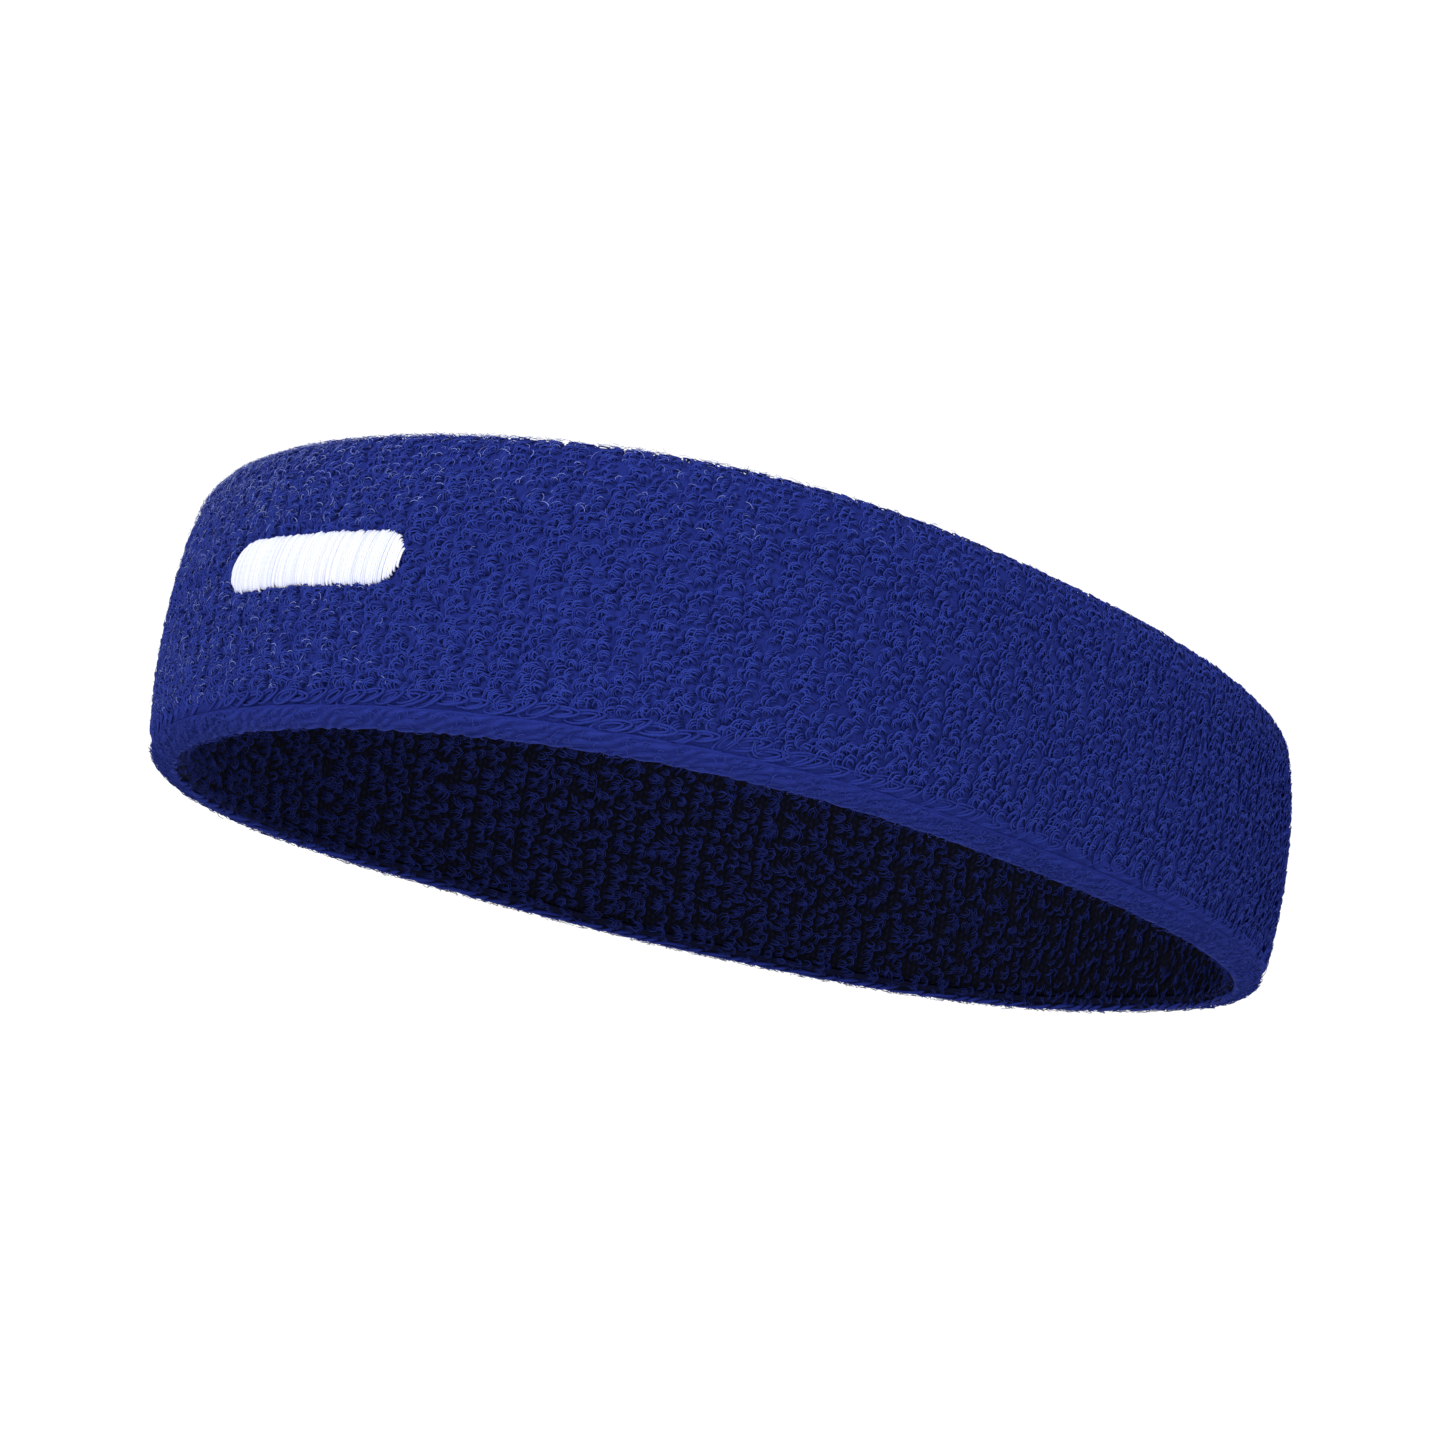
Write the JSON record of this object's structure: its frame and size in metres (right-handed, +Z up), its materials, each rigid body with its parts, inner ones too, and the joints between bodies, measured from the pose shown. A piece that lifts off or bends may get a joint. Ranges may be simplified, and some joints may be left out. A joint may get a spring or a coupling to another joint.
{
  "type": "sports headband",
  "caption": "Stretch terry sports headband: a doubled loop-pile knit ring with a plain welt around its lower edge and a small embroidered bar on the front.",
  "frame": {"origin": "under the middle of the band, on the plane that its lower edge stands on", "axes": "+Z up through the head opening, from the welt to the fold; -Y to the front, where the emblem is; +X to the wearer's left"},
  "size_m": [0.1624, 0.2122, 0.048],
  "materials": {
    "pile_cotton": "matt cotton loop pile",
    "ground_nylon": "dull stretch nylon knit",
    "welt_cotton": "matt plain knit",
    "linking_thread": "soft spun thread",
    "elastic": "thread-covered rubber yarn",
    "embroidery_thread": "glossy rayon thread",
    "backing_fibre": "nonwoven"
  },
  "bodies": {
    "root": {"outer_terry_pile": "pile_cotton", "inner_terry_pile": "pile_cotton", "top_fold_pile": "pile_cotton", "ground_knit_tube": "ground_nylon", "bottom_welt": "welt_cotton", "linking_chain": "linking_thread", "elastic_yarn_1": "elastic", "elastic_yarn_2": "elastic", "elastic_yarn_3": "elastic", "elastic_yarn_4": "elastic", "elastic_yarn_5": "elastic", "elastic_yarn_6": "elastic", "elastic_yarn_7": "elastic", "elastic_yarn_8": "elastic", "emblem_embroidery": "embroidery_thread", "emblem_backing": "backing_fibre", "emblem_bobbin_thread": "embroidery_thread"}
  },
  "joints": []
}
